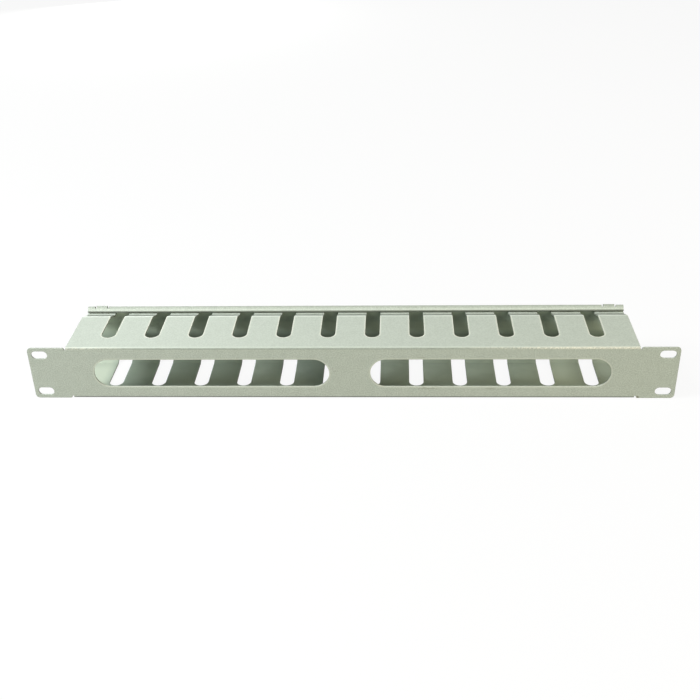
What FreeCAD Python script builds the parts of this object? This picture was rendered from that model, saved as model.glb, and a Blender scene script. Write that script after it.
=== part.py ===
# Horizontal cable manager for a 19-inch rack, one rack unit high.
# Two folded steel sheets: a channel with mounting ears and slotted finger walls,
# and a cover whose sloped flanges hook behind the turned-up lips of the fingers.
# Frame: +X along the rack rail to rail, +Y from the rails towards the cover, +Z up.
# Origin: middle of the panel, on the face that bolts to the rack rails.

import FreeCAD, Part
import math
import os
import Sketcher

# name, millimetres (or a count or degrees), what it measures
SIZES = [
    ("panel_width", 482.6, "panel with its ears, the 19-inch width"),
    ("panel_height", 43.66, "panel and walls, one rack unit less the gap between units"),
    ("ear_width", 29.3, "ear, from the channel's end to the panel's end"),
    ("ear_corner", 3.0, "radius of the ears' outer corners"),
    ("hole_inset", 8.75, "centre of an ear slot to the panel's end"),
    ("hole_span", 31.75, "ear slots, centre to centre, lower to upper"),
    ("hole_width", 6.5, "ear slot across"),
    ("hole_length", 12.0, "ear slot from end to end"),
    ("relief_width", 1.2, "notch beside each end of a fold, at its floor"),
    ("relief_depth", 1.9, "notch beside each end of a fold, in from the ear's edge"),
    ("relief_corner", 0.6, "radius in the notch"),
    ("relief_round", 1.2, "radius from the notch out to the ear's edge"),
    ("sheet", 1.0, "thickness of the channel's sheet"),
    ("bend", 0.2, "inside radius of every fold"),
    ("ramp_angle", 23.5, "slope of a finger from the wall down to its flat tip, degrees"),
    ("tip_length", 4.9, "flat finger tip, from the end of the slope to the back of the lip"),
    ("tip_gap", 0.7, "flat finger tip to the edge of the cover's hook"),
    ("oval_margin", 18.9, "outer end of a cable opening to the channel's end"),
    ("oval_height", 23.6, "cable opening in the panel, across"),
    ("bridge", 30.6, "panel left between the two cable openings"),
    ("slot_count", 12, "cable slots in each wall"),
    ("slot_width", 11.0, "cable slot across"),
    ("slot_start", 15.8, "mounting face to the round closed end of a cable slot"),
    ("depth", 67.6, "mounting face to the cover's outer face"),
    ("cover_sheet", 1.0, "thickness of the cover's sheet"),
    ("hook_angle", 45.0, "slope of the cover's flange below level, degrees"),
    ("hook_reach", 4.9, "cover's outer face back to the edge of the flange"),
    ("lip_gap_y", 0.5, "turned-up lip to the inside of the cover's plate"),
    ("lip_gap_z", 0.3, "turned-up lip to the inside of the cover's flange"),
    ("tab_width", 8.6, "pressed tab on the cover's corner, between its slits"),
    ("tab_slit", 1.2, "slit at each side of a pressed tab"),
    ("tab_reach", 2.6, "pressed tab along each face of the corner"),
    ("tab_rise", 0.35, "pressed tab out of the corner, each way"),
]


class Size:
    """A length that carries its number and the sheet expression that gives it."""

    def __init__(self, value, text):
        self.value = value
        self.text = text

    def __add__(self, other):
        return combine(self, "+", other, self.value + number(other))

    def __sub__(self, other):
        return combine(self, "-", other, self.value - number(other))

    def __mul__(self, other):
        return combine(self, "*", other, self.value * number(other))

    def __truediv__(self, other):
        return combine(self, "/", other, self.value / number(other))


def slope(angle):
    return Size(math.tan(math.radians(angle.value)), "tan(%s)" % angle.text)


def sine(angle):
    return Size(math.sin(math.radians(angle.value)), "sin(%s)" % angle.text)


def cosine(angle):
    return Size(math.cos(math.radians(angle.value)), "cos(%s)" % angle.text)


def number(item):
    return item.value if isinstance(item, Size) else item


def combine(first, sign, second, value):
    text = second.text if isinstance(second, Size) else repr(second)
    return Size(value, "(%s %s %s)" % (first.text, sign, text))


def make_sheet(doc):
    """The spreadsheet of driving sizes, and one Size for each of its names."""
    sheet = doc.addObject("Spreadsheet::Sheet", "Sizes")
    named = {}
    for row, (name, value, meaning) in enumerate(SIZES, start=1):
        sheet.set("A%d" % row, name)
        sheet.set("B%d" % row, str(value))
        sheet.set("C%d" % row, meaning)
        sheet.setAlias("B%d" % row, name)
        named[name] = Size(value, "Sizes." + name)
    doc.recompute()
    add_derived(named)
    return named


def add_derived(size):
    """Places that more than one piece or cut takes, worked out once from the sheet."""
    size["zero"] = Size(0.0, "0")
    size["panel_end"] = size["panel_width"] / 2
    size["wall_top"] = size["panel_height"] / 2
    size["channel_end"] = size["panel_end"] - size["ear_width"]
    size["outer_bend"] = size["bend"] + size["sheet"]
    add_hook(size)
    add_finger(size)
    slots_width = size["slot_width"] * size["slot_count"]
    size["finger"] = (size["channel_end"] * 2 - slots_width) / (size["slot_count"] + 1)


def add_hook(size):
    """The cover's corner, where its faces would meet, and the square edge of its flange."""
    sheet = size["cover_sheet"]
    fall = size["hook_angle"]
    size["cover_bend"] = size["bend"] + sheet
    size["cover_inside"] = size["depth"] - sheet
    bend_centre = size["wall_top"] - size["cover_bend"]
    corner_turn = slope(fall / 2 + 45.0)
    size["corner_outer"] = bend_centre + size["cover_bend"] * corner_turn
    size["corner_inner"] = bend_centre + size["bend"] * corner_turn
    size["hook_outer_y"] = size["depth"] - size["hook_reach"]
    size["hook_outer_z"] = size["corner_outer"] - size["hook_reach"] * slope(fall)
    size["hook_inner_y"] = size["hook_outer_y"] + sheet * sine(fall)
    size["hook_inner_z"] = size["hook_outer_z"] - sheet * cosine(fall)


def add_finger(size):
    """The finger's slope, flat tip and lip, set by the cover's hook that they stay clear of."""
    size["lip_front"] = size["cover_inside"] - size["lip_gap_y"]
    size["lip_back"] = size["lip_front"] - size["sheet"]
    under_flange = (size["cover_inside"] - size["lip_back"]) * slope(size["hook_angle"])
    lip_clear = size["lip_gap_z"] / cosine(size["hook_angle"])
    size["lip_top"] = size["corner_inner"] - under_flange - lip_clear
    size["tip_top"] = size["hook_inner_z"] - size["tip_gap"]
    size["ramp_end"] = size["lip_back"] - size["tip_length"]
    drop = size["wall_top"] - size["tip_top"]
    size["ramp_start"] = size["ramp_end"] - drop / slope(size["ramp_angle"])
    size["fold_shift"] = size["sheet"] * slope(size["ramp_angle"] / 2)


def origin_plane(body, role):
    for feature in body.Origin.OriginFeatures:
        if feature.Role == role:
            return feature
    raise ValueError("no origin feature " + role)


def new_sketch(body, name, plane, offset=None):
    """A sketch on one of the body's own origin planes, moved along its normal by offset."""
    sketch = body.newObject("Sketcher::SketchObject", name)
    sketch.AttachmentSupport = [(origin_plane(body, plane), "")]
    sketch.MapMode = "FlatFace"
    if offset is not None:
        sketch.setExpression("AttachmentOffset.Base.z", offset.text)
    return sketch


def vector(point):
    return FreeCAD.Vector(point[0], point[1], 0)


def side_ends(sides, corners):
    """Start and end of each side before its corners are rounded."""
    starts = [None] * len(sides)
    ends = [None] * len(sides)
    for index, (kind, place) in enumerate(sides):
        after = (index + 1) % len(sides)
        next_kind, next_place = sides[after]
        if kind != next_kind:
            across = (place.value, next_place.value)
            point = across if kind == "upright" else across[::-1]
            ends[index] = starts[after] = point
        else:
            turn = corners[index].value
            ends[index] = (turn, place.value) if kind == "level" else (place.value, turn)
            starts[after] = (turn, next_place.value) if kind == "level" else (next_place.value, turn)
    return starts, ends


def heading(start, end):
    return (vector(end) - vector(start)).normalize()


def corner_arc(start, end, ahead):
    """Arc that leaves start along ahead and reaches end, and whether it turns left."""
    chord = end - start
    left = FreeCAD.Vector(-ahead.y, ahead.x, 0)
    reach = chord.dot(chord) / (2 * chord.dot(left))
    centre = start + left * reach
    turns_left = reach > 0
    first, last = (start, end) if turns_left else (end, start)
    circle = Part.Circle(centre, FreeCAD.Vector(0, 0, 1), abs(reach))
    arc = Part.ArcOfCircle(circle, angle(first - centre), angle(last - centre))
    return arc, turns_left


def angle(spoke):
    return math.atan2(spoke.y, spoke.x)


def add_outline(sketch, sides, corners):
    """Closed outline of level and upright sides, every size bound to the sheet.

    Each side is ("level", y) or ("upright", x). corners[i] follows sides[i]: None for a
    sharp corner, a radius where the two sides are square to each other, and where they
    are parallel the place of the centre of the half turn that joins them.
    """
    starts, ends = side_ends(sides, corners)
    count = len(sides)
    heads = [heading(starts[i], ends[i]) for i in range(count)]
    first = [vector(point) for point in starts]
    last = [vector(point) for point in ends]
    for index in range(count):
        after = (index + 1) % count
        if corners[index] is not None and sides[index][0] != sides[after][0]:
            radius = corners[index].value
            last[index] = last[index] - heads[index] * radius
            first[after] = first[after] + heads[after] * radius
    lines = [sketch.addGeometry(Part.LineSegment(first[i], last[i]), False) for i in range(count)]
    for index, (kind, place) in enumerate(sides):
        hold_side(sketch, lines[index], kind, place)
    for index in range(count):
        after = (index + 1) % count
        if corners[index] is None:
            joint = Sketcher.Constraint("Coincident", lines[index], 2, lines[after], 1)
            sketch.addConstraint(joint)
            continue
        arc, left = corner_arc(last[index], first[after], heads[index])
        square = sides[index][0] != sides[after][0]
        add_round(sketch, arc, left, (lines[index], lines[after]), corners[index],
                  "radius" if square else sides[index][0])


def add_section(sketch, corners):
    """Closed outline through the given corners, every place and radius bound to the sheet.

    Each corner is (x, y, radius), with None for a sharp one. A rounded corner keeps the
    point where its two sides would meet.
    """
    count = len(corners)
    points = [vector((x.value, y.value)) for x, y, radius in corners]
    heads = [(points[(i + 1) % count] - points[i]).normalize() for i in range(count)]
    first = list(points)
    last = list(points)
    for index, (x, y, radius) in enumerate(corners):
        if radius is not None:
            turn = heads[index - 1].getAngle(heads[index])
            reach = radius.value * math.tan(turn / 2)
            first[index] = points[index] + heads[index] * reach
            last[index] = points[index] - heads[index - 1] * reach
    lines = []
    for index in range(count):
        side = Part.LineSegment(first[index], last[(index + 1) % count])
        lines.append(sketch.addGeometry(side, False))
    for index, (x, y, radius) in enumerate(corners):
        pair = (lines[index - 1], lines[index])
        if radius is None:
            sketch.addConstraint(Sketcher.Constraint("Coincident", pair[0], 2, pair[1], 1))
            hold_point(sketch, pair[1], x, y)
            continue
        meeting = sketch.addGeometry(Part.Point(points[index]), True)
        for line in pair:
            sketch.addConstraint(Sketcher.Constraint("PointOnObject", meeting, 1, line))
        hold_point(sketch, meeting, x, y)
        arc, left = corner_arc(last[index], first[index], heads[index - 1])
        add_round(sketch, arc, left, pair, radius, "radius")


def hold_point(sketch, item, x, y):
    """Keep the first point of a line, or a point, at its place."""
    for distance, axis, place in (("DistanceX", -2, x), ("DistanceY", -1, y)):
        if place.text == "0":
            sketch.addConstraint(Sketcher.Constraint("PointOnObject", item, 1, axis))
        else:
            bind(sketch, Sketcher.Constraint(distance, -1, 1, item, 1, place.value), place)


def hold_side(sketch, line, kind, place):
    """Keep a side level or upright, at its place."""
    level = kind == "level"
    sketch.addConstraint(Sketcher.Constraint("Horizontal" if level else "Vertical", line))
    if place.text == "0":
        axis = -1 if level else -2
        sketch.addConstraint(Sketcher.Constraint("PointOnObject", line, 1, axis))
    else:
        distance = "DistanceY" if level else "DistanceX"
        bind(sketch, Sketcher.Constraint(distance, -1, 1, line, 1, place.value), place)


def add_round(sketch, arc, left, lines, corner, kind):
    """Join two sides by an arc tangent to both, bound by its radius or its centre's place."""
    arc_id = sketch.addGeometry(arc, False)
    arc_start, arc_end = (1, 2) if left else (2, 1)
    sketch.addConstraint(Sketcher.Constraint("Tangent", lines[0], 2, arc_id, arc_start))
    sketch.addConstraint(Sketcher.Constraint("Tangent", arc_id, arc_end, lines[1], 1))
    if kind == "radius":
        bind(sketch, Sketcher.Constraint("Radius", arc_id, corner.value), corner)
    else:
        distance = "DistanceX" if kind == "level" else "DistanceY"
        bind(sketch, Sketcher.Constraint(distance, -1, 1, arc_id, 3, corner.value), corner)


def bind(sketch, constraint, size):
    index = sketch.addConstraint(constraint)
    sketch.setExpression("Constraints[%d]" % index, size.text)


def new_pad(body, name, sketch, length, both_ways=False, backwards=False):
    pad = body.newObject("PartDesign::Pad", name)
    pad.Profile = sketch
    pad.setExpression("Length", length.text)
    pad.Midplane = both_ways
    pad.Reversed = backwards
    return pad


def new_pocket(body, name, sketch, length):
    """A cut that runs the same way to both sides of its sketch."""
    pocket = body.newObject("PartDesign::Pocket", name)
    pocket.Profile = sketch
    pocket.setExpression("Length", length.text)
    pocket.Midplane = True
    return pocket


def new_mirror(body, name, originals, plane):
    mirror = body.newObject("PartDesign::Mirrored", name)
    mirror.Originals = originals
    mirror.MirrorPlane = (origin_plane(body, plane), [""])
    body.Tip = mirror
    return mirror


def channel_section(size):
    """Upper half of the channel's section: panel, wall, sloped finger, flat tip and lip."""
    sheet = size["sheet"]
    outer = size["outer_bend"]
    inner = size["bend"]
    wall_inside = size["wall_top"] - sheet
    tip_inside = size["tip_top"] - sheet
    return [
        (size["zero"], size["zero"], None),
        (size["zero"], size["wall_top"], outer),
        (size["ramp_start"], size["wall_top"], outer),
        (size["ramp_end"], size["tip_top"], inner),
        (size["lip_back"], size["tip_top"], inner),
        (size["lip_back"], size["lip_top"], None),
        (size["lip_front"], size["lip_top"], None),
        (size["lip_front"], tip_inside, outer),
        (size["ramp_end"] - size["fold_shift"], tip_inside, outer),
        (size["ramp_start"] - size["fold_shift"], wall_inside, inner),
        (sheet, wall_inside, inner),
        (sheet, size["zero"], None),
    ]


def add_ears(body, size):
    """The two ears, in the plane of the panel, with the notches that free the folds."""
    sketch = new_sketch(body, "EarSketch", "XZ_Plane")
    root = size["channel_end"]
    top = size["wall_top"]
    notch_end = root + size["relief_width"]
    notch_floor = top - size["relief_depth"]
    inner = size["relief_corner"]
    round_over = size["relief_round"]
    corner = size["ear_corner"]
    for side in (1, -1):
        sides = [
            ("upright", root * side),
            ("level", notch_floor),
            ("upright", notch_end * side),
            ("level", top),
            ("upright", size["panel_end"] * side),
            ("level", top * -1),
            ("upright", notch_end * side),
            ("level", notch_floor * -1),
        ]
        corners = [None, inner, round_over, corner, corner, round_over, inner, None]
        add_outline(sketch, sides, corners)
    return new_pad(body, "Ears", sketch, size["sheet"], backwards=True)


def add_stadium(sketch, x_from, x_to, y_middle, width):
    """A long hole with full round ends."""
    radius = width / 2
    sides = [("level", y_middle - radius), ("level", y_middle + radius)]
    add_outline(sketch, sides, [x_to - radius, x_from + radius])


def cut_panel(body, size):
    """The four ear slots and the two long cable openings."""
    sketch = new_sketch(body, "PanelHoleSketch", "XZ_Plane")
    oval_inner = size["bridge"] / 2
    oval_outer = size["channel_end"] - size["oval_margin"]
    add_stadium(sketch, oval_inner, oval_outer, size["zero"], size["oval_height"])
    add_stadium(sketch, oval_outer * -1, oval_inner * -1, size["zero"], size["oval_height"])
    half_hole = size["hole_length"] / 2
    for side in (1, -1):
        middle = (size["panel_end"] - size["hole_inset"]) * side
        for level in (1, -1):
            height = size["hole_span"] / 2 * level
            add_stadium(sketch, middle - half_hole, middle + half_hole, height, size["hole_width"])
    return new_pocket(body, "PanelHoles", sketch, size["sheet"] * 4)


def cut_slots(body, size):
    """The row of cable slots, through both walls at once and out through the finger tips."""
    pitch = size["finger"] + size["slot_width"]
    row = pitch * (size["slot_count"] - 1)
    first = row * -0.5
    half_slot = size["slot_width"] / 2
    sketch = new_sketch(body, "SlotSketch", "XY_Plane")
    sides = [
        ("upright", first - half_slot),
        ("upright", first + half_slot),
        ("level", size["depth"]),
    ]
    add_outline(sketch, sides, [size["slot_start"] + half_slot, None, None])
    slot = new_pocket(body, "Slot", sketch, size["panel_height"])
    pattern = body.newObject("PartDesign::LinearPattern", "Slots")
    pattern.Originals = [slot]
    pattern.Direction = (origin_plane(body, "X_Axis"), [""])
    pattern.setExpression("Length", row.text)
    pattern.setExpression("Occurrences", size["slot_count"].text)
    body.Tip = pattern


def make_channel(doc, size):
    """Panel, ears, walls, fingers and lips, folded from one sheet."""
    body = doc.addObject("PartDesign::Body", "Channel")
    body.Label = "finger_channel"
    sketch = new_sketch(body, "ChannelSketch", "YZ_Plane")
    add_section(sketch, channel_section(size))
    half = new_pad(body, "ChannelHalf", sketch, size["channel_end"] * 2, both_ways=True)
    new_mirror(body, "ChannelWalls", [half], "XY_Plane")
    add_ears(body, size)
    cut_panel(body, size)
    cut_slots(body, size)
    body.Placement = FreeCAD.Placement()
    return body


def cover_section(size):
    """Upper half of the cover's section: plate and sloped flange with a square edge."""
    return [
        (size["depth"], size["zero"], None),
        (size["depth"], size["corner_outer"], size["cover_bend"]),
        (size["hook_outer_y"], size["hook_outer_z"], None),
        (size["hook_inner_y"], size["hook_inner_z"], None),
        (size["cover_inside"], size["corner_inner"], size["bend"]),
        (size["cover_inside"], size["zero"], None),
    ]


def tab_section(size, root_y, root_z):
    """A pressed tab: the cover's corner moved out, from its root in the plate to the flange."""
    outer_y = size["depth"] + size["tab_rise"]
    inner_y = outer_y - size["cover_sheet"]
    outer_z = size["corner_outer"] + size["tab_rise"]
    inner_z = size["corner_inner"] + size["tab_rise"]
    fall = slope(size["hook_angle"])
    return [
        (outer_y, root_z, None),
        (outer_y, outer_z, size["cover_bend"]),
        (root_y, outer_z - (outer_y - root_y) * fall, None),
        (root_y, inner_z - (inner_y - root_y) * fall, None),
        (inner_y, inner_z, size["bend"]),
        (inner_y, root_z, None),
    ]


def add_tabs(body, size):
    """Tabs pressed out of the corner between slits, over the middle of each end finger."""
    middle = size["channel_end"] - size["finger"] / 2
    root_y = size["depth"] - size["tab_reach"]
    root_z = size["wall_top"] - size["tab_reach"]
    far = size["depth"] + size["tab_rise"]
    high = size["wall_top"] + size["tab_rise"]
    window = [("level", root_z), ("upright", far), ("level", high), ("upright", root_y)]
    window_sketch = new_sketch(body, "TabWindowSketch", "YZ_Plane", middle)
    add_outline(window_sketch, window, [None] * len(window))
    window_width = size["tab_width"] + size["tab_slit"] * 2
    window_cut = new_pocket(body, "TabWindow", window_sketch, window_width)
    tab_sketch = new_sketch(body, "TabSketch", "YZ_Plane", middle)
    add_section(tab_sketch, tab_section(size, root_y, root_z))
    tab = new_pad(body, "Tab", tab_sketch, size["tab_width"], both_ways=True)
    spread = body.newObject("PartDesign::MultiTransform", "Tabs")
    spread.Originals = [window_cut, tab]
    lower = new_mirror(body, "TabsBelow", [], "XY_Plane")
    other = new_mirror(body, "TabsOtherEnd", [], "YZ_Plane")
    spread.Transformations = [lower, other]
    body.Tip = spread


def make_cover(doc, size):
    """Plate and hooked flanges, folded from one sheet."""
    body = doc.addObject("PartDesign::Body", "Cover")
    body.Label = "cover"
    sketch = new_sketch(body, "CoverSketch", "YZ_Plane")
    add_section(sketch, cover_section(size))
    half = new_pad(body, "CoverHalf", sketch, size["channel_end"] * 2, both_ways=True)
    new_mirror(body, "CoverSheet", [half], "XY_Plane")
    add_tabs(body, size)
    body.Placement = FreeCAD.Placement()
    return body


def check_document(doc, pieces):
    """Stop if any object failed, any sketch is loose or any piece isn't one sound solid."""
    for item in doc.Objects:
        if "Invalid" in item.State or "Error" in item.State:
            raise ValueError("%s failed: %s" % (item.Name, item.State))
        if item.TypeId == "Sketcher::SketchObject" and not item.FullyConstrained:
            raise ValueError(item.Name + " isn't fully constrained")
    for piece in pieces:
        shape = piece.Shape
        if shape.isNull() or not shape.isValid() or len(shape.Solids) != 1:
            raise ValueError(piece.Label + " isn't one sound solid")


def main():
    doc = FreeCAD.newDocument("CableManager")
    size = make_sheet(doc)
    pieces = [make_channel(doc, size), make_cover(doc, size)]
    doc.recompute()
    check_document(doc, pieces)
    os.makedirs("parts", exist_ok=True)
    for piece in pieces:
        box = piece.Shape.BoundBox
        print("%s: %.0f mm3, X %.2f to %.2f, Y %.2f to %.2f, Z %.2f to %.2f" % (
            piece.Label, piece.Shape.Volume, box.XMin, box.XMax, box.YMin, box.YMax,
            box.ZMin, box.ZMax))
        piece.Shape.exportStep("parts/%s.step" % piece.Label)


main()
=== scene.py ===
# %% [markdown]
# # A horizontal cable manager in powder-coated steel
#
# The object is two folded sheets: a channel with rack ears, long openings in its panel
# and slotted walls, and a cover whose sloped flanges hook behind the finger tips.
# The solids come packed, in metres, so this lesson is about making sheet metal look
# like painted sheet metal: a camera, light that models flat faces, and a paint with
# grain, rounded stamped edges and a few marks of handling.

# %% Load the frame
import math
import bmesh
import bpy
from mathutils import Matrix, Vector


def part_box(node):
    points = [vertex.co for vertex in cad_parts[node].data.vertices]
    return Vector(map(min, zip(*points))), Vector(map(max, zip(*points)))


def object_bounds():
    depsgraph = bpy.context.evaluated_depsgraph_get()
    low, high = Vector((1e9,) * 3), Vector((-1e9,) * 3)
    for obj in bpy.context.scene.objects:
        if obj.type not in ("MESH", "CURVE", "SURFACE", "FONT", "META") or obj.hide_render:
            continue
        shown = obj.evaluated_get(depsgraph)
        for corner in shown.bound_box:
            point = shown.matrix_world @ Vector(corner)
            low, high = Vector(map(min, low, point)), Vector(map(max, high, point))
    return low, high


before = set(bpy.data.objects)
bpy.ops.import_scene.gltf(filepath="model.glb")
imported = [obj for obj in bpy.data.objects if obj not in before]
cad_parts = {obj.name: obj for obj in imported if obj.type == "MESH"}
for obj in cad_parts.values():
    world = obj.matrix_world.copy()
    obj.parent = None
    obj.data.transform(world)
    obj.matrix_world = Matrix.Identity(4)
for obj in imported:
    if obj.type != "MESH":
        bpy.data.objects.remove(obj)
cad_low, cad_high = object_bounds()
MM = 0.001
print("nodes:", sorted(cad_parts))
print("CAD box, mm:", [round(v / MM, 1) for v in (*cad_low, *cad_high)])

# %% [markdown]
# ## Camera
#
# The object is seen from its mounting side and from above, a little to the right of its
# middle. Three turns place a camera: roll about its own axis first, then the tip up from
# straight down, then the swing about the vertical. Multiplying the matrices in that
# order is clearer than a set of Euler angles, because each factor is one plain turn.

# %% Camera
CAMERA_PLACE = Vector((36.09, -639.16, 393.26)) * MM
CAMERA_DOWN = math.radians(30.245)
CAMERA_SWING = math.radians(3.166)
CAMERA_ROLL = math.radians(-1.680)
LENS_MM = 51.786
SENSOR_MM = 36.0
NEAR_CLIP = 10 * MM


def add_camera():
    """The scene's camera, on its place and turned to the object."""
    data = bpy.data.cameras.new("camera")
    data.lens = LENS_MM
    data.sensor_width = SENSOR_MM
    data.clip_start = NEAR_CLIP
    camera = bpy.data.objects.new("camera", data)
    bpy.context.collection.objects.link(camera)
    turn = Matrix.Rotation(CAMERA_SWING, 4, "Z")
    turn = turn @ Matrix.Rotation(math.pi / 2 - CAMERA_DOWN, 4, "X")
    turn = turn @ Matrix.Rotation(CAMERA_ROLL, 4, "Z")
    camera.matrix_world = Matrix.Translation(CAMERA_PLACE) @ turn
    bpy.context.scene.camera = camera
    return camera


camera = add_camera()
bpy.context.scene.view_settings.view_transform = "Standard"
print("camera at", tuple(round(v, 3) for v in camera.location))

# %% [markdown]
# ## Helpers for node trees
#
# A material is a tree of nodes, and most of this paint is arithmetic on masks: values
# from 0 to 1 that say where something shows. Adding each node by hand takes four or five
# lines, so a few small helpers add one node each and hand back its output, which can
# then be fed to the next helper. What more than one material uses is a node group, which
# is built once, with named inputs and outputs.

# %% Nodes and links
def add_node(tree, kind, **sockets):
    """A node with plain values on the inputs named by keyword, spaces as underscores."""
    node = tree.nodes.new(kind)
    for name, value in sockets.items():
        node.inputs[name.replace("_", " ")].default_value = value
    return node


def wire(tree, source, target):
    """Link an output to an input, or put a plain number on it."""
    if isinstance(source, (int, float)):
        target.default_value = source
    else:
        tree.links.new(source, target)


# %% Arithmetic on masks
def maths(tree, operation, *values, clamp=False):
    """A Math node fed with sockets or plain numbers; gives its output."""
    node = tree.nodes.new("ShaderNodeMath")
    node.operation = operation
    node.use_clamp = clamp
    for value, socket in zip(values, node.inputs):
        wire(tree, value, socket)
    return node.outputs[0]


def step_between(tree, value, start, full):
    """0 at start, 1 at full, a smooth step between; full may lie on either side."""
    node = tree.nodes.new("ShaderNodeMapRange")
    node.interpolation_type = "SMOOTHSTEP"
    falling = full < start
    wire(tree, value, node.inputs["Value"])
    node.inputs["From Min"].default_value = min(start, full)
    node.inputs["From Max"].default_value = max(start, full)
    node.inputs["To Min"].default_value = 1.0 if falling else 0.0
    node.inputs["To Max"].default_value = 0.0 if falling else 1.0
    return node.outputs["Result"]


# %% Node groups
FLOAT = "NodeSocketFloat"
VECTOR = "NodeSocketVector"


def new_group(name, inputs, outputs):
    """A shader node group with named sockets, and its input and output nodes."""
    group = bpy.data.node_groups.new(name, "ShaderNodeTree")
    for socket, kind in inputs.items():
        group.interface.new_socket(socket, in_out="INPUT", socket_type=kind)
    for socket, kind in outputs.items():
        group.interface.new_socket(socket, in_out="OUTPUT", socket_type=kind)
    return group, group.nodes.new("NodeGroupInput"), group.nodes.new("NodeGroupOutput")


# %% [markdown]
# ## Powder grain
#
# Powder coat is dry paint that melts and levels in an oven. It never levels fully: the
# surface keeps small soft hills about a millimetre across, and its shade wanders a
# little. Two noises on Object coordinates make both, one fine and one wide, and
# the fine one also lifts the surface through a Bump node in the material.

# %% Powder grain group
WIDE_SWING = 0.15
GRAIN_LOW, GRAIN_HIGH = 0.32, 0.68


def make_grain_group():
    """Fine and wide noise as one shade from 0 to 1, and the fine one as a height."""
    group, source, result = new_group(
        "PowderGrain",
        {"Place": VECTOR, "Fine": FLOAT, "Wide": FLOAT},
        {"Shade": FLOAT, "Height": FLOAT})
    fine = add_node(group, "ShaderNodeTexNoise", Detail=2.0, Roughness=0.6)
    wide = add_node(group, "ShaderNodeTexNoise", Detail=1.0, Roughness=0.5)
    for noise, size in ((fine, "Fine"), (wide, "Wide")):
        group.links.new(source.outputs["Place"], noise.inputs["Vector"])
        group.links.new(source.outputs[size], noise.inputs["Scale"])
    swing = maths(group, "MULTIPLY_ADD", wide.outputs["Fac"], WIDE_SWING, -WIDE_SWING / 2)
    shade = maths(group, "ADD", fine.outputs["Fac"], swing)
    shade = step_between(group, shade, GRAIN_LOW, GRAIN_HIGH)
    group.links.new(shade, result.inputs["Shade"])
    group.links.new(fine.outputs["Fac"], result.inputs["Height"])
    return group


powder_grain = make_grain_group()
print("group:", powder_grain.name)

# %% [markdown]
# ## Stamped edges
#
# Every hole and outline is punched, and the paint flows round the raw edge, so no edge is
# knife sharp. A Bevel node rounds the shading normal near an edge without more faces. How
# far a second, wider one turns the normal tells where an edge is, which gives a mask for
# a painted highlight, a thin pale line along stamped edges.

# %% Stamped edge group
BEVEL_SAMPLES = 8
# The turn of the normal is known as its cosine: 1 is flat.
NEARLY_FLAT, CLEARLY_TURNED = 0.9998, 0.985


def vector_maths(tree, operation, *vectors):
    """A Vector Math node fed with sockets."""
    node = tree.nodes.new("ShaderNodeVectorMath")
    node.operation = operation
    for vector, socket in zip(vectors, node.inputs):
        tree.links.new(vector, socket)
    return node


def make_edge_group():
    """A mask that is 1 along edges, and a normal that is rounded there."""
    group, source, result = new_group(
        "StampedEdge", {"Radius": FLOAT, "Rim": FLOAT}, {"Edge": FLOAT, "Normal": VECTOR})
    rounded = group.nodes.new("ShaderNodeBevel")
    wider = group.nodes.new("ShaderNodeBevel")
    for bevel, width in ((rounded, "Radius"), (wider, "Rim")):
        bevel.samples = BEVEL_SAMPLES
        group.links.new(source.outputs[width], bevel.inputs["Radius"])
    flat = group.nodes.new("ShaderNodeNewGeometry")
    turned = vector_maths(
        group, "DOT_PRODUCT", wider.outputs["Normal"], flat.outputs["Normal"])
    edge = step_between(group, turned.outputs["Value"], NEARLY_FLAT, CLEARLY_TURNED)
    group.links.new(edge, result.inputs["Edge"])
    group.links.new(rounded.outputs["Normal"], result.inputs["Normal"])
    return group


stamped_edge = make_edge_group()
print("group:", stamped_edge.name)

# %% [markdown]
# ## Painted shade inside
#
# Little light reaches the inner faces of a folded channel, and their shade is painted into
# the colour as a darker tone. A mask from the place on the object finds those faces: behind
# the panel, in front of the cover plate and between the two walls, but not on the outside of
# the sloped fingers. A second mask adds slow clouds of deeper painted shade, uneven as the
# light inside is.
#
# Each finger ends in a slope, a flat tip and a lip. Height plus a share of the depth is
# the same all along the slope, so one sum tells the slope's outer face from its inner.

# %% Inside shade group
wall_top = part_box("finger_channel")[1][2]
INNER_FACE = 0.95 * MM     # a little less than the sheet is thick
SLOPE_FALL = 0.435         # height lost for each step in depth
slope_middle = wall_top + 21.1 * MM    # the sum on the slope, half way through the sheet
TIP_FACE = 17.02 * MM      # a little below the outer face of the tip
CLOUD_SCALE = 75.0
CLOUDS_START, CLOUDS_FULL = 0.42, 0.62


def split_axes(tree, vector):
    """The X, Y and Z of a vector as three outputs."""
    split = tree.nodes.new("ShaderNodeSeparateXYZ")
    tree.links.new(vector, split.inputs[0])
    return split.outputs


def product(tree, *masks):
    """Several masks or plain numbers multiplied together."""
    result = masks[0]
    for mask in masks[1:]:
        result = maths(tree, "MULTIPLY", result, mask)
    return result


# Its masks place the painted shade on the inner faces.
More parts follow.
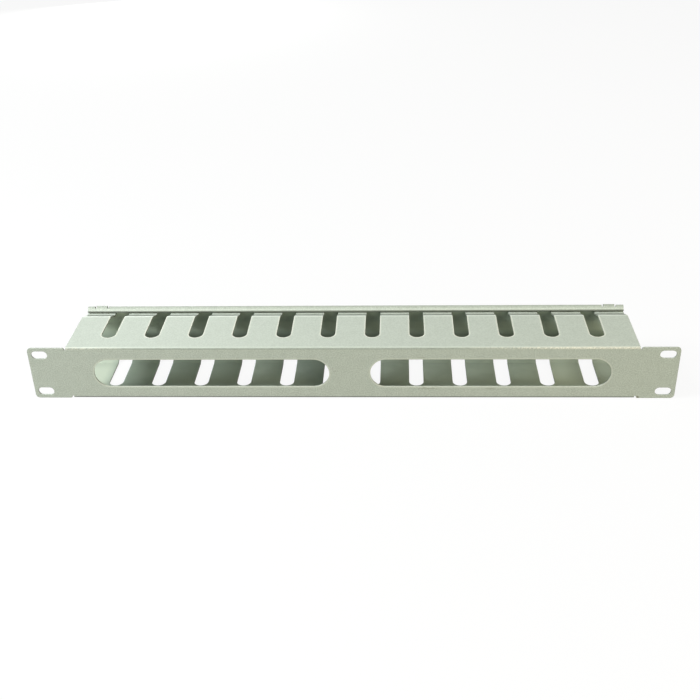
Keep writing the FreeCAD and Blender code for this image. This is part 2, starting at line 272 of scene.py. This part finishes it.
def make_inside_shade_group():
    """A mask of the inner faces that lie lower than the limit, and one with clouds in it."""
    group, source, result = new_group(
        "InsideShade", {"Place": VECTOR, "Limit": FLOAT}, {"Inside": FLOAT, "Clouds": FLOAT})
    across, depth, level = split_axes(group, source.outputs["Place"])
    height = maths(group, "ABSOLUTE", level)
    slope = maths(group, "MULTIPLY_ADD", depth, SLOPE_FALL, height)
    under_fingers = maths(
        group, "MAXIMUM",
        maths(group, "LESS_THAN", slope, slope_middle),
        maths(group, "LESS_THAN", height, TIP_FACE))
    inside = product(
        group,
        maths(group, "LESS_THAN", height, source.outputs["Limit"]),
        maths(group, "GREATER_THAN", depth, INNER_FACE),
        maths(group, "LESS_THAN", depth, cad_high.y - INNER_FACE),
        under_fingers)
    clouds = add_node(
        group, "ShaderNodeTexNoise", Scale=CLOUD_SCALE, Detail=1.0, Roughness=0.5)
    group.links.new(source.outputs["Place"], clouds.inputs["Vector"])
    clouds = step_between(group, clouds.outputs["Fac"], CLOUDS_START, CLOUDS_FULL)
    group.links.new(inside, result.inputs["Inside"])
    group.links.new(product(group, inside, clouds), result.inputs["Clouds"])
    return group


inside_shade = make_inside_shade_group()
print("group:", inside_shade.name, "below walls at Z", round(wall_top / MM, 2), "mm")

# %% [markdown]
# ## Paint
#
# Both sheets wear the same grey-green powder coat. The base colour mixes two close shades
# by the grain, and takes a painted shade inside. The shift moves the grain, so that no two
# pieces match. The function hands back the paint's parts: its colour so far, and the masks
# and axes that later cells use to mix more into it.

# %% Materials and colours
# A Mix node has a set of sockets for each kind of value, all with the same names, so the
# ones for colours are picked by place.
MIX_FACTOR, MIX_FIRST, MIX_SECOND = 0, 6, 7
MIX_RESULT = 2


def new_material(name):
    """An empty material, its node tree, and the Principled shader wired to its output."""
    material = bpy.data.materials.new(name)
    material.use_nodes = True
    tree = material.node_tree
    return material, tree, tree.nodes["Principled BSDF"]


def place_group(tree, group, **sockets):
    """The group as a node, with plain values on the inputs named by keyword."""
    node = add_node(tree, "ShaderNodeGroup")
    node.node_tree = group
    for name, value in sockets.items():
        node.inputs[name].default_value = value
    return node


def mix_colours(tree, factor, first, second):
    """A Mix node for two colours, each a socket or a plain colour; gives its output."""
    node = tree.nodes.new("ShaderNodeMix")
    node.data_type = "RGBA"
    wire(tree, factor, node.inputs[MIX_FACTOR])
    for value, place in ((first, MIX_FIRST), (second, MIX_SECOND)):
        if isinstance(value, tuple):
            node.inputs[place].default_value = (*value, 1.0)
        else:
            wire(tree, value, node.inputs[place])
    return node.outputs[MIX_RESULT]


# %% Paint
PAINT_LOW = (0.447, 0.492, 0.430)
PAINT_HIGH = (0.589, 0.639, 0.572)
# The next two colours are painted shade for the inner faces, the second one deeper and in
# clouds.
PAINTED_SHADE_INSIDE = (0.394, 0.460, 0.386)
DEEP_PAINTED_SHADE = (0.195, 0.24, 0.19)
CLOUD_SHARE = 0.17
FINE_SCALE, WIDE_SCALE = 1080.0, 160.0
WALL_START, WALL_FULL = -0.6 * MM, -0.2 * MM    # the outer faces of the walls
WALL_CALM = 0.42           # how much of the grain's contrast these smooth faces lose
WALL_INSIDE = 20.95 * MM   # a little over the height of the walls' inner faces
EDGE_RADIUS = 0.4 * MM
RIM_WIDTH = 2.0 * MM
GRAIN_RELIEF = 0.05 * MM
RELIEF_STRENGTH = 0.35
ROUGHNESS = 0.6
SPECULAR = 0.3
ear_start = cad_high.x - 29.6 * MM


def paint_colour(tree, place, shift, over_top, inside_masks):
    """The grain's two shades, the painted shade inside and its clouds; gives colour and relief.
    """
    moved = add_node(tree, "ShaderNodeMapping", Location=shift)
    tree.links.new(place, moved.inputs["Vector"])
    grain = place_group(tree, powder_grain, Fine=FINE_SCALE, Wide=WIDE_SCALE)
    tree.links.new(moved.outputs["Vector"], grain.inputs["Place"])
    wall = step_between(tree, over_top, WALL_START, WALL_FULL)
    contrast = maths(tree, "MULTIPLY_ADD", wall, -WALL_CALM, 1.0)
    shade = maths(tree, "SUBTRACT", grain.outputs["Shade"], 0.5)
    shade = maths(tree, "MULTIPLY_ADD", shade, contrast, 0.5)
    colour = mix_colours(tree, shade, PAINT_LOW, PAINT_HIGH)
    colour = mix_colours(tree, inside_masks.outputs["Inside"], colour, PAINTED_SHADE_INSIDE)
    clouds = product(tree, inside_masks.outputs["Clouds"], CLOUD_SHARE)
    colour = mix_colours(tree, clouds, colour, DEEP_PAINTED_SHADE)
    return colour, grain.outputs["Height"]


def make_paint(name, shift):
    """Powder coat as a material, with its tree, its shader, its colour and its masks."""
    material, tree, shader = new_material(name)
    place = tree.nodes.new("ShaderNodeTexCoord").outputs["Object"]
    across, depth, level = split_axes(tree, place)
    side = maths(tree, "ABSOLUTE", across)
    height = maths(tree, "ABSOLUTE", level)
    over_top = maths(tree, "SUBTRACT", height, wall_top)
    inside_masks = place_group(tree, inside_shade, Limit=WALL_INSIDE)
    tree.links.new(place, inside_masks.inputs["Place"])
    colour, relief = paint_colour(tree, place, shift, over_top, inside_masks)
    edge = place_group(tree, stamped_edge, Radius=EDGE_RADIUS, Rim=RIM_WIDTH)
    bump = add_node(
        tree, "ShaderNodeBump", Strength=RELIEF_STRENGTH, Distance=GRAIN_RELIEF)
    tree.links.new(relief, bump.inputs["Height"])
    tree.links.new(edge.outputs["Normal"], bump.inputs["Normal"])
    tree.links.new(bump.outputs["Normal"], shader.inputs["Normal"])
    shader.inputs["Roughness"].default_value = ROUGHNESS
    shader.inputs["Specular IOR Level"].default_value = SPECULAR
    inside = inside_masks.outputs["Inside"]
    return {
        "material": material, "tree": tree, "shader": shader, "colour": colour,
        "place": place, "across": across, "side": side, "depth": depth, "level": level,
        "height": height, "over_top": over_top, "inside": inside,
        "rim": maths(tree, "SUBTRACT", edge.outputs["Edge"], inside, clamp=True),
        "upper": maths(tree, "GREATER_THAN", level, 0.0),
        "off_ears": maths(tree, "LESS_THAN", side, ear_start)}


channel_paint = make_paint("channel_powder_coat", shift=(0.0, 0.0, 0.0))
cover_paint = make_paint("cover_powder_coat", shift=(0.7, 0.3, 0.1))
for name, paint in (("finger_channel", channel_paint), ("cover", cover_paint)):
    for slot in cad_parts[name].material_slots:
        slot.material = paint["material"]
print("paints on", sorted(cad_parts))

# %% [markdown]
# ## Painted light and shade inside
#
# The painted shade inside differs from place to place. Painted light lifts it at the open
# ends, where light gets in, and the painted shade is deepest in the left half of the channel
# and low on the cover. Each such place is a region of the sheet, given by limits along its
# axes in millimetres. Two limits are a step: nothing at the first, all at the second. Four
# are a band: it starts at the first, is full from the second to the third and ends at the
# fourth.
#
# The axes are across, from left to right, side, the distance from the middle to either
# end, depth, from the panel to the cover, level, from bottom to top, height, the
# distance above or below the middle, and over_top, the height over the wall's top face.
#
# A table of regions, each with a tone of painted light or shade and a share, is easier to
# read and to change than a long chain of nodes, and its rows are mixed in from the top down.

# %% Regions of a sheet
def band(tree, value, start, full, fading, end):
    """0 outside start and end, 1 from full to fading, and smooth steps between."""
    rise = step_between(tree, value, start, full)
    fall = step_between(tree, value, end, fading)
    return maths(tree, "MULTIPLY", rise, fall)


def region(paint, **limits):
    """A mask from two or four limits, in mm, along each of the axes named."""
    tree = paint["tree"]
    masks = []
    for axis, numbers in limits.items():
        make = step_between if len(numbers) == 2 else band
        masks.append(make(tree, paint[axis], *(v * MM for v in numbers)))
    return product(tree, *masks)


def mix_in(paint, colour, *masks):
    """Mix one more colour into a paint, by the product of the masks."""
    tree = paint["tree"]
    paint["colour"] = mix_colours(tree, product(tree, *masks), paint["colour"], colour)


# %% Painted light and shade inside the channel
# A lighter tone as painted light inside: at the open ends and on lighter belts.
PAINTED_LIGHT_INSIDE = (0.57, 0.63, 0.52)
FAR_SHARE = 0.28           # by the cover, in the left half; half as much in the right


def far_share(paint):
    """How much the painted shade deepens towards the cover."""
    right_half = region(paint, across=(0, 40))
    return maths(paint["tree"], "MULTIPLY_ADD", right_half, -FAR_SHARE / 2, FAR_SHARE)


CHANNEL_LIGHT_AND_SHADE = (
    # painted shade in the left half, then painted light at the open left end and the open right
    # end
    (DEEP_PAINTED_SHADE, {"across": (-197, -185, -90, -78)}, 0.42),
    (PAINTED_LIGHT_INSIDE, {"across": (-186, -197)}, 1.0),
    (PAINTED_LIGHT_INSIDE, {"across": (140, 158)}, 0.7),
    # painted light by the panel, painted shade by the cover, and painted light between them in
    # the right half
    (PAINTED_LIGHT_INSIDE, {"depth": (34, 18), "across": (-155, -125)}, 0.3),
    (DEEP_PAINTED_SHADE, {"depth": (38, 52)}, far_share(channel_paint)),
    (PAINTED_LIGHT_INSIDE, {"depth": (18, 26, 46, 54), "across": (0, 40)}, 0.16),
)

for painted_tone, limits, share in CHANNEL_LIGHT_AND_SHADE:
    mix_in(channel_paint, painted_tone, channel_paint["inside"], region(channel_paint, **limits), share)
print("regions of coat in the channel:", len(CHANNEL_LIGHT_AND_SHADE))

# %% Painted light and shade inside the cover
# The darkest tone, painted shade: low inside the cover, in folds, under the hook, in the slits
# and on cut faces.
PAINTED_SHADE_DARK = (0.12, 0.135, 0.11)
COVER_LIGHT_AND_SHADE = (
    # painted shade on the lower half and the upper edge
    (DEEP_PAINTED_SHADE, {"level": (1, -7), "across": (-215, -170)}, 1.0),
    (DEEP_PAINTED_SHADE, {"level": (8, 13)}, 0.35),
    # painted light on a belt between them, and painted shade on the lowest part, off the ends
    (PAINTED_LIGHT_INSIDE, {"level": (-2, 1, 6, 9), "across": (-215, -170)}, 0.35),
    (PAINTED_SHADE_DARK, {"level": (-2, -6), "across": (-215, -170, 150, 176)}, 0.45),
    # painted light at the open left end
    (PAINTED_LIGHT_INSIDE, {"across": (-170, -188), "level": (-7, 3)}, 0.55),
)

for painted_tone, limits, share in COVER_LIGHT_AND_SHADE:
    mix_in(cover_paint, painted_tone, cover_paint["inside"], region(cover_paint, **limits), share)
print("regions of coat in the cover:", len(COVER_LIGHT_AND_SHADE))

# %% [markdown]
# ## The front fold
#
# A fold catches light and shade, and both are painted here: a painted highlight as a thin
# pale line on its outer side, and painted shade next to it. The fold's place is known from the
# solid, so each line is a band in depth and in height over the wall's top face. Here,
# between panel and wall, the painted highlight lies behind the bend and the painted shade below
# it.

# %% Front fold
# A pale tone as a painted highlight on the outer side of folds.
PAINTED_FOLD_HIGHLIGHT = (0.71, 0.77, 0.69)
PALE_RIGHT, PALE_LEFT = 0.5, 0.95
DARK_BELOW, DARK_ABOVE = 0.9, 0.45


def add_front_fold(paint):
    """A painted highlight that gets stronger to the left, and painted shade that is weaker on
    top.
    """
    tree = paint["tree"]
    # painted highlight behind the bend
    pale = region(paint, over_top=(-0.4, -0.3, 1.0, 1.1), depth=(0.6, 0.9, 1.7, 2.0))
    left = region(paint, across=(-130, -200))
    strength = maths(tree, "MULTIPLY_ADD", left, PALE_LEFT - PALE_RIGHT, PALE_RIGHT)
    mix_in(paint, PAINTED_FOLD_HIGHLIGHT, pale, strength, paint["off_ears"])
    # painted shade below the bend
    dark = region(paint, over_top=(-1.5, -1.1, -0.4, 0.0), depth=(1.1, 0.8))
    strength = maths(
        tree, "MULTIPLY_ADD", paint["upper"], DARK_ABOVE - DARK_BELOW, DARK_BELOW)
    mix_in(paint, PAINTED_SHADE_DARK, dark, strength, paint["off_ears"])


add_front_fold(channel_paint)
print("front fold at Z", round(wall_top / MM, 2), "mm")

# %% [markdown]
# ## The fingers' folds
#
# Each finger is folded three times: down into its slope, level again for the tip, and up
# into the lip. The first fold gets a painted highlight, and the slope and the folds below it
# get painted shade. The same sum of height and depth as before keeps these bands on outer
# faces.

# %% Finger folds
ON_SLOPE, ON_TIP = "slope", "tip"
# a painted highlight on the first fold, painted shade on the slope and the lower folds
FINGER_BANDS = (
    (PAINTED_FOLD_HIGHLIGHT, ON_SLOPE, (47.8, 48.4, 52.5, 53.1), 0.9),    # the fold down
    (PAINTED_SHADE_DARK, ON_SLOPE, (53.0, 54.0, 60.1, 61.1), 0.6),    # the slope
    (PAINTED_SHADE_DARK, ON_TIP, (59.95, 60.25, 60.7, 61.0), 0.35),   # the fold into the tip
    (PAINTED_SHADE_DARK, ON_TIP, (63.4, 64.0), 0.5),                  # the fold into the lip
)


def add_finger_folds(paint):
    """Bands along the fingers' ends, on their outer faces only."""
    tree = paint["tree"]
    slope = maths(tree, "MULTIPLY_ADD", paint["depth"], SLOPE_FALL, paint["height"])
    outer = {
        ON_SLOPE: maths(tree, "GREATER_THAN", slope, slope_middle),
        ON_TIP: maths(tree, "GREATER_THAN", paint["height"], TIP_FACE)}
    for colour, face, limits, share in FINGER_BANDS:
        mix_in(paint, colour, region(paint, depth=limits), outer[face], share)


add_finger_folds(channel_paint)
print("bands on the fingers:", len(FINGER_BANDS))

# %% [markdown]
# ## Rims and cut faces
#
# Round the slots and openings the edge mask gives a painted highlight as a pale rim. It is
# kept off the front fold and the slopes, which have their own lines, and off the walls' ends.
# The cut faces are the thickness of the sheet. Those that look to the left or right get
# painted shade, and the direction of the face, its normal, finds them.

# %% Rims
# A pale tone as a painted highlight along stamped edges.
PAINTED_RIM_HIGHLIGHT = (0.78, 0.80, 0.70)
RIM_ON_WALL, RIM_ON_PANEL = 0.9, 0.45


def add_rims(paint):
    """Painted highlights as pale rims, weaker on the panel than on the walls."""
    tree = paint["tree"]
    front = region(paint, depth=(3.2, 2.4))
    fold = product(tree, front, region(paint, over_top=(-2.6, -2.0)))
    off_fold = maths(tree, "SUBTRACT", 1.0, fold)
    off_slope_and_ends = region(paint, depth=(49.5, 48.0), side=(210, 209))
    strength = maths(tree, "MULTIPLY_ADD", front, RIM_ON_PANEL - RIM_ON_WALL, RIM_ON_WALL)
    mix_in(paint, PAINTED_RIM_HIGHLIGHT, paint["rim"], off_fold, off_slope_and_ends, strength)


add_rims(channel_paint)
print("rims to", RIM_ON_WALL, "on the walls,", RIM_ON_PANEL, "on the panel")

# %% Cut faces
CUT_START, CUT_FULL = 0.4, 0.8
CUT_SHARE = 0.75


def add_cut_faces(paint):
    """Painted shade on the faces that look to the left or right."""
    tree = paint["tree"]
    surface = tree.nodes.new("ShaderNodeNewGeometry")
    sideways = maths(tree, "ABSOLUTE", split_axes(tree, surface.outputs["Normal"])[0])
    cut = step_between(tree, sideways, CUT_START, CUT_FULL)
    mix_in(paint, PAINTED_SHADE_DARK, cut, CUT_SHARE)


add_cut_faces(channel_paint)
print("cut faces darker by a share of", CUT_SHARE)

# %% [markdown]
# ## The cover's folds
#
# The cover is bent at its corner and hooks back behind the lips at 45 degrees. Its corner
# and the hook get painted shade, the hook's last stretch a painted highlight, and the cut at
# its end dark painted shade. On the hook's outer face, height less depth is constant, which
# tells it from the inner one. Near each end a tab is pressed out between two short slits,
# painted as dots of dark painted shade on the corner.

# %% Cover folds
HOOK_FACE = -44.17 * MM    # height less depth, a little under the hook's outer face
TAB_MIDDLE = 200.8 * MM    # from the cover's middle to the middle of a tab
ANY_FACE, ON_HOOK = "any", "hook"
COVER_BANDS = (
    # painted shade on the corner, the hook and the cut at its end, a painted highlight on the
    # hook's last stretch
    (PAINTED_SHADE_DARK, ANY_FACE, {"over_top": (-0.7, -0.3)}, 0.24),
    (PAINTED_SHADE_DARK, ON_HOOK, {"depth": (66.2, 65.7)}, 0.15),
    (PAINTED_FOLD_HIGHLIGHT, ON_HOOK, {"depth": (63.25, 63.5, 64.4, 64.65)}, 0.3),
    (PAINTED_SHADE_DARK, ANY_FACE, {"depth": (63.5, 63.25)}, 0.85),
    # painted shade in the slits on both sides of each tab
    (PAINTED_SHADE_DARK, ANY_FACE, {"from_tab": (4.0, 4.3, 5.3, 5.6), "over_top": (-1.1, -0.6)}, 0.6),
)


def add_cover_folds(paint):
    """Painted shade and highlight along the cover's corner and hook, and the dots of the tabs'
    slits.
    """
    tree = paint["tree"]
    rise = maths(tree, "SUBTRACT", paint["height"], paint["depth"])
    faces = {ANY_FACE: 1.0, ON_HOOK: maths(tree, "GREATER_THAN", rise, HOOK_FACE)}
    from_tab = maths(tree, "SUBTRACT", paint["side"], TAB_MIDDLE)
    paint["from_tab"] = maths(tree, "ABSOLUTE", from_tab)
    for colour, face, limits, share in COVER_BANDS:
        mix_in(paint, colour, region(paint, **limits), faces[face], share)


add_cover_folds(cover_paint)
print("bands on the cover:", len(COVER_BANDS), "with tabs at X +-", round(TAB_MIDDLE / MM, 1))

# %% [markdown]
# ## Pale spots on the front fold
#
# Towards the right end the front fold has cream spots, which run together near the
# end, and a few more sit at the left end. A noise cut by a narrow step gives spots with
# ragged outlines, and a region says how far they reach.

# %% Spots on the fold
FOLD_CREAM = (0.74, 0.73, 0.62)
SPOT_SCALE = 860.0
SPOT_START, SPOT_FULL = 0.43, 0.55
BEND_START, BEND_FULL = -1.6 * MM, -1.2 * MM    # height over the top less depth
JOINED_SHARE = 0.55
LEFT_SHARE = 0.5


def add_fold_spots(paint):
    """Cream spots along the bend of the upper front fold."""
    tree = paint["tree"]
    bend = maths(tree, "SUBTRACT", paint["over_top"], paint["depth"])
    bend = step_between(tree, bend, BEND_START, BEND_FULL)
    spots = add_node(
        tree, "ShaderNodeTexNoise", Scale=SPOT_SCALE, Detail=2.0, Roughness=0.7)
    tree.links.new(paint["place"], spots.inputs["Vector"])
    spots = step_between(tree, spots.outputs["Fac"], SPOT_START, SPOT_FULL)
    joined = product(tree, region(paint, across=(110, 175)), JOINED_SHARE)
    spots = maths(tree, "MAXIMUM", spots, joined)
    left = product(tree, region(paint, across=(-150, -205)), LEFT_SHARE)
    reach = maths(tree, "MAXIMUM", region(paint, across=(60, 165)), left)
    mix_in(paint, FOLD_CREAM, spots, bend, reach, paint["upper"], paint["off_ears"])


add_fold_spots(channel_paint)
print("spots on the fold, noise scale", SPOT_SCALE)

# %% [markdown]
# ## Marks of handling
#
# A few small marks sit on the panel: scrapes below and above the right opening and some
# specks. Each one is a soft ellipse round a centre, roughened by a noise. One group
# makes the mask, and every mark is the same group with another centre and size.

# %% Mark group
MARK_GRAIN = 900.0
MARK_RAGGED = 3.0
MARK_START, MARK_FULL = 1.0, 0.7


def make_mark_group():
    """A ragged ellipse with its centre and its reach along the three axes."""
    group, source, result = new_group(
        "HandlingMark",
        {"Place": VECTOR, "Centre": VECTOR, "Reach": VECTOR}, {"Mask": FLOAT})
    place, centre, reach = (source.outputs[name] for name in ("Place", "Centre", "Reach"))
    offset = vector_maths(group, "SUBTRACT", place, centre)
    scaled = vector_maths(group, "DIVIDE", offset.outputs["Vector"], reach)
    length = vector_maths(group, "LENGTH", scaled.outputs["Vector"])
    rough = add_node(group, "ShaderNodeTexNoise", Scale=MARK_GRAIN, Detail=1.0)
    group.links.new(place, rough.inputs["Vector"])
    ragged = maths(
        group, "MULTIPLY_ADD", rough.outputs["Fac"], MARK_RAGGED, -MARK_RAGGED / 2)
    ragged = maths(group, "ADD", length.outputs["Value"], ragged)
    mask = step_between(group, ragged, MARK_START, MARK_FULL)
    group.links.new(mask, result.inputs["Mask"])
    return group


handling_mark = make_mark_group()
print("group:", handling_mark.name)

# %% Scrapes and specks
MARK_DARK = (0.24, 0.24, 0.18)
# each with its centre and its reach in mm, and its share
MARKS = (
    ((58.0, 0.0, -13.5), (9.0, 1.0, 0.8), 0.35),
    ((105.0, 0.0, -13.6), (4.5, 1.0, 0.7), 0.35),
    ((-12.9, 0.0, 4.0), (1.0, 1.0, 0.7), 0.25),
    ((-11.4, 0.0, 1.6), (0.8, 1.0, 0.7), 0.25),
    ((210.6, 0.0, -1.3), (0.7, 1.0, 0.7), 0.3),
    ((53.0, 0.0, 13.4), (3.5, 1.0, 0.5), 0.3),
    ((214.4, 0.0, -21.0), (1.2, 1.5, 1.0), 1.0),
)


def add_mark(paint, centre, reach, share):
    """One dark mark on a paint."""
    mark = place_group(
        paint["tree"], handling_mark,
        Centre=tuple(v * MM for v in centre), Reach=tuple(v * MM for v in reach))
    paint["tree"].links.new(paint["place"], mark.inputs["Place"])
    mix_in(paint, MARK_DARK, mark.outputs["Mask"], share)


for mark in MARKS:
    add_mark(channel_paint, *mark)
for paint in (channel_paint, cover_paint):
    paint["tree"].links.new(paint["colour"], paint["shader"].inputs["Base Color"])
print("marks:", len(MARKS))

# %% [markdown]
# ## Floor and background
#
# The floor only has to carry the object and its soft shadow. It is grey to the light, so
# that it doesn't flood the channel from below, and nearly white to the camera and in
# reflections, by a mix on the kind of ray that looks at it. The share that isn't glow
# is a white matt floor, and that share shows the shadow.

# %% Floor
FLOOR_GLOW = 0.92
FLOOR_REACH = 3.0
FLOOR_GREY = (0.20, 0.20, 0.19, 1)
FLOOR_WHITE = (0.9, 0.9, 0.9, 1)
FLOOR_ROUGHNESS = 0.9
WHITE = (1, 1, 1, 1)


def seen_share(tree):
    """1 for rays from the camera, from reflections and through glass, 0 for light."""
    path = tree.nodes.new("ShaderNodeLightPath")
    seen = maths(tree, "MAXIMUM", path.outputs["Is Camera Ray"], path.outputs["Is Glossy Ray"])
    return maths(tree, "MAXIMUM", seen, path.outputs["Is Transmission Ray"])


def mix_shaders(tree, factor, first, second):
    """A Mix Shader node for two nodes that give a shader."""
    mix = tree.nodes.new("ShaderNodeMixShader")
    wire(tree, factor, mix.inputs["Fac"])
    tree.links.new(first.outputs[0], mix.inputs[1])
    tree.links.new(second.outputs[0], mix.inputs[2])
    return mix


def floor_mesh():
    """One flat square at the height of the object's lowest point."""
    shape = bmesh.new()
    bmesh.ops.create_grid(shape, x_segments=1, y_segments=1, size=FLOOR_REACH)
    bmesh.ops.translate(shape, verts=shape.verts, vec=(0, 0, cad_low.z))
    mesh = bpy.data.meshes.new("floor")
    shape.to_mesh(mesh)
    shape.free()
    return mesh


def floor_material():
    """Grey to the light and nearly white to the camera."""
    material, tree, shader = new_material("pale_floor")
    shader.inputs["Base Color"].default_value = FLOOR_GREY
    shader.inputs["Roughness"].default_value = FLOOR_ROUGHNESS
    matt = add_node(tree, "ShaderNodeBsdfDiffuse", Color=FLOOR_WHITE)
    glow = add_node(tree, "ShaderNodeEmission", Color=WHITE, Strength=1.0)
    seen = mix_shaders(tree, FLOOR_GLOW, matt, glow)
    surface = mix_shaders(tree, seen_share(tree), shader, seen)
    tree.links.new(surface.outputs[0], tree.nodes["Material Output"].inputs["Surface"])
    return material


floor = bpy.data.objects.new("floor", floor_mesh())
bpy.context.collection.objects.link(floor)
floor.data.materials.append(floor_material())
print("floor at Z", round(cad_low.z / MM, 2), "mm")

# %% [markdown]
# ## Light
#
# One large soft lamp stands high on the left, so that the top wall is lit most, the panel
# less and the inside least, and light reaches in at the open left end. A weak one at the
# left front and warmer ones at the right lift the panel and the inside of the right end,
# and one low behind shows the cover from that side. The room is dim to the light and
# white to the camera, as the floor is.

# %% World
ROOM_LIGHT = 0.03


def set_world():
    """A dim room that looks white."""
    world = bpy.data.worlds.new("studio")
    bpy.context.scene.world = world
    world.use_nodes = True
    tree = world.node_tree
    room = tree.nodes["Background"]
    room.inputs["Color"].default_value = WHITE
    room.inputs["Strength"].default_value = ROOM_LIGHT
    seen = add_node(tree, "ShaderNodeBackground", Color=WHITE, Strength=1.0)
    surface = mix_shaders(tree, seen_share(tree), room, seen)
    tree.links.new(surface.outputs[0], tree.nodes["World Output"].inputs["Surface"])
    return world


world = set_world()
print("world:", world.name, "with light", ROOM_LIGHT)

# %% Lamps
COOL = (0.94, 0.98, 1.0)
GREENISH = (0.955, 1.0, 0.93)
WARM = (1.0, 0.93, 0.72)
LAMP_DISTANCE = 1.6
LAMP_AIM = Vector((0.0, 0.03, 0.0))
# each with its direction from the object, its size in metres, its power and its colour
LAMPS = (
    ("key", (-1.15, -0.3, 1.0), 0.5, 30.0, COOL),
    ("left_front", (-1.0, -1.2, 0.7), 0.8, 4.8, GREENISH),
    ("right_front", (1.0, -1.2, 0.6), 0.8, 10.5, WARM),
    ("right_end", (1.4, -0.1, 0.5), 0.6, 9.0, WARM),
    ("back", (-0.5, 1.5, 0.13), 0.25, 9.0, GREENISH),
)


def add_lamp(name, direction, size, power, colour):
    """A square area lamp that looks at the object."""
    data = bpy.data.lights.new(name, "AREA")
    data.shape = "SQUARE"
    data.size = size
    data.energy = power
    data.color = colour
    lamp = bpy.data.objects.new(name, data)
    bpy.context.collection.objects.link(lamp)
    lamp.location = Vector(direction).normalized() * LAMP_DISTANCE
    lamp.rotation_mode = "QUATERNION"
    lamp.rotation_quaternion = (LAMP_AIM - lamp.location).to_track_quat("-Z", "Y")
    return lamp


lamps = [add_lamp(*row) for row in LAMPS]
print("lamps:", [lamp.name for lamp in lamps])
